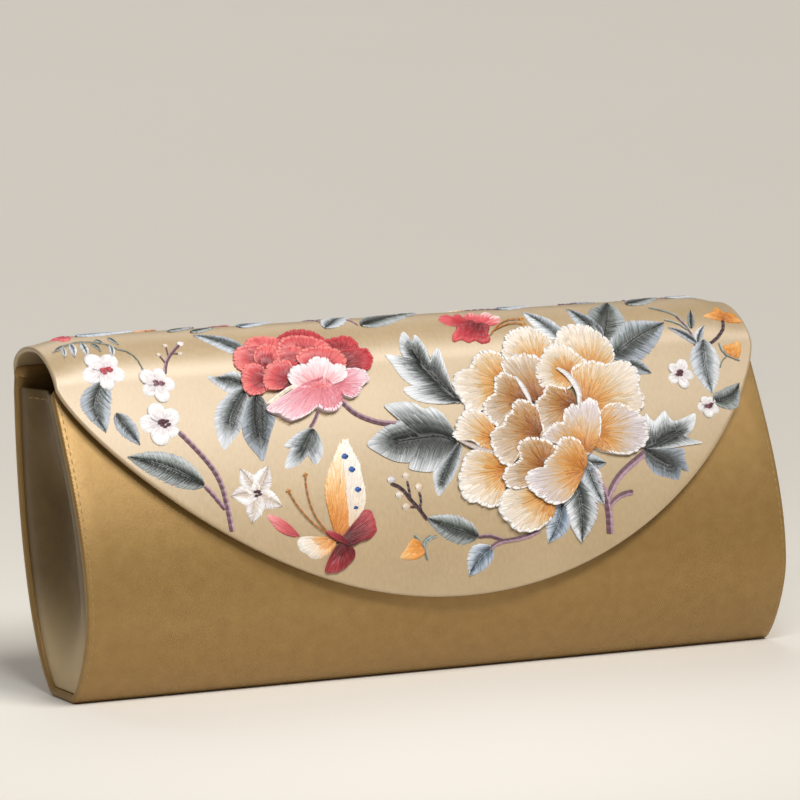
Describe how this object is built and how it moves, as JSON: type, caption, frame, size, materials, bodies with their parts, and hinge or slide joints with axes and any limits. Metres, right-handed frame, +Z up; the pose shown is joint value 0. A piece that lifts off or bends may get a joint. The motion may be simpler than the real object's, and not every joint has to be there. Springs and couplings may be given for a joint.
{
  "type": "embroidered evening clutch purse",
  "caption": "Flat gold satin evening clutch with slack side gussets and a wide curved flap, rolled over the mouth and covered with silk peony and butterfly embroidery.",
  "frame": {"origin": "on the table under the middle of the purse's box", "axes": "+X along the purse to the right seen from its front, -Y to the front (the flap's side), +Z up"},
  "size_m": [0.25, 0.062, 0.112],
  "materials": {
    "twill_satin": "satin",
    "smooth_satin": "satin",
    "gusset_satin": "satin",
    "plated_steel": "satin"
  },
  "bodies": {
    "root": {"body_wrap": "twill_satin", "flap": "smooth_satin", "gusset_left": "gusset_satin", "gusset_right": "gusset_satin", "magnetic_snap": "plated_steel"}
  },
  "joints": []
}
